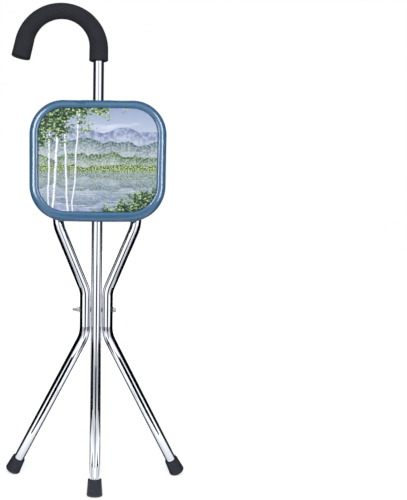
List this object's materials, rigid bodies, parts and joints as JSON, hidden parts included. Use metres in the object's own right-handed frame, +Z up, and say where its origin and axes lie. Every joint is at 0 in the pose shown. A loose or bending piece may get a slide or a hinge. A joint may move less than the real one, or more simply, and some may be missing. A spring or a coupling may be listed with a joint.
{
  "type": "walking stick seat",
  "caption": "Crook-handled walking stick on a tripod of rubber feet, with a padless panel seat folded flat against it that swings level as the bent legs scissor open.",
  "frame": {"origin": "centre of the bounding box in X and Y, on the floor that the three feet stand on, with the stick closed for walking", "axes": "+Z up, -Y towards the viewer of the seat's printed face, +X to that viewer's right; the crook opens towards -X"},
  "size_m": [0.3378, 0.151, 0.872],
  "materials": {
    "tube_metal": "bright polished steel tube",
    "zinc_steel": "zinc-plated hardware",
    "grip_foam": "fine matt foam grip",
    "foot_rubber": "dark grey rubber",
    "blue_plastic": "gloss blue moulding",
    "printed_sheet": null,
    "dark_plastic": "black moulding"
  },
  "bodies": {
    "stick": {"main_tube": "tube_metal", "handle_grip": "grip_foam", "centre_foot": "foot_rubber", "centre_foot_washer": "zinc_steel", "stop_ring": "zinc_steel", "stop_rivet": "zinc_steel", "pivot_bolt": "zinc_steel", "pivot_nut": "zinc_steel", "pivot_washers": "zinc_steel", "pivot_spacers": "zinc_steel"},
    "legs": {"right_leg_tube": "tube_metal", "left_leg_tube": "tube_metal", "right_leg_plug": "dark_plastic", "left_leg_plug": "dark_plastic", "right_foot": "foot_rubber", "left_foot": "foot_rubber", "right_foot_washer": "zinc_steel", "left_foot_washer": "zinc_steel"},
    "seat": {"seat_frame": "blue_plastic", "seat_panel": "printed_sheet", "right_leg_bracket": "zinc_steel", "left_leg_bracket": "zinc_steel", "leg_bracket_screws": "zinc_steel", "collar_bracket": "zinc_steel", "collar_bracket_screws": "zinc_steel", "right_hinge_bolt": "zinc_steel", "left_hinge_bolt": "zinc_steel", "right_hinge_nut": "zinc_steel", "left_hinge_nut": "zinc_steel"},
    "collar": {"slide_collar": "dark_plastic", "collar_pins": "zinc_steel"}
  },
  "joints": [
    {"name": "leg_scissor", "type": "hinge", "parent": "stick", "child": "legs", "pos_m": [0, -0.03258, 0.33088], "axis": [1, 0, 0], "range_deg": [0, 53.4]},
    {"name": "seat_fold", "type": "hinge", "parent": "legs", "child": "seat", "pos_m": [0, -0.01676, 0.51169], "axis": [1, 0, 0], "range_deg": [-106.8, 0]},
    {"name": "collar_pivot", "type": "hinge", "parent": "seat", "child": "collar", "pos_m": [0, -0.00095, 0.6925], "axis": [1, 0, 0], "range_deg": [0, 53.4]}
  ],
  "couplings": [
    {"joint": "seat_fold", "follows": "leg_scissor", "ratio": -2},
    {"joint": "collar_pivot", "follows": "leg_scissor", "ratio": 1}
  ]
}
